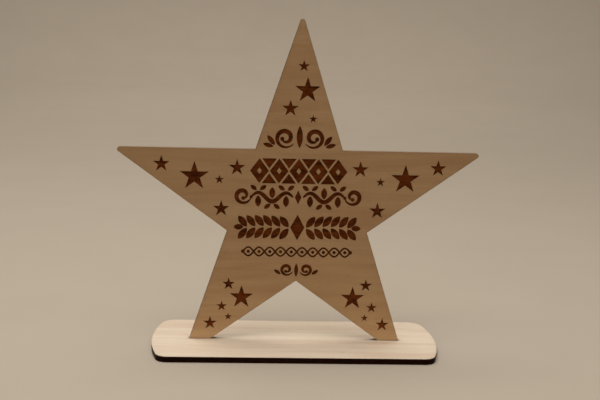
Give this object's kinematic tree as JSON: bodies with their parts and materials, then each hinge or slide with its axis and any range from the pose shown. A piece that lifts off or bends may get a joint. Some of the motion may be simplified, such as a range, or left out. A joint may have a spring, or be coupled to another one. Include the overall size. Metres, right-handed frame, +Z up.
{
  "type": "star trophy",
  "caption": "Standing plywood star award: a flat laser-cut star with engraved small stars and ornament, tenoned upright into a flat bow-ended base.",
  "frame": {"origin": "centre of the base's underside, on the floor", "axes": "+X to the viewer's right along the base, +Y towards the back, +Z up; the star's engraved front faces -Y"},
  "size_m": [0.1852, 0.06, 0.1708],
  "materials": {
    "engraved_face_veneer": "satin sanded birch with dark brown laser engraving",
    "face_veneer": "satin sanded birch, laser-browned at the cut edges",
    "core_veneer": "laser-charred cut edge"
  },
  "bodies": {
    "base": {"base_top_veneer": "face_veneer", "base_core_veneer": "core_veneer", "base_bottom_veneer": "face_veneer"},
    "star": {"star_front_veneer": "engraved_face_veneer", "star_core_veneer": "core_veneer", "star_back_veneer": "face_veneer"}
  },
  "joints": [
    {"name": "star_lift", "type": "slide", "parent": "base", "child": "star", "axis": [0, 0, 1], "range_m": [0, 0.015]}
  ]
}
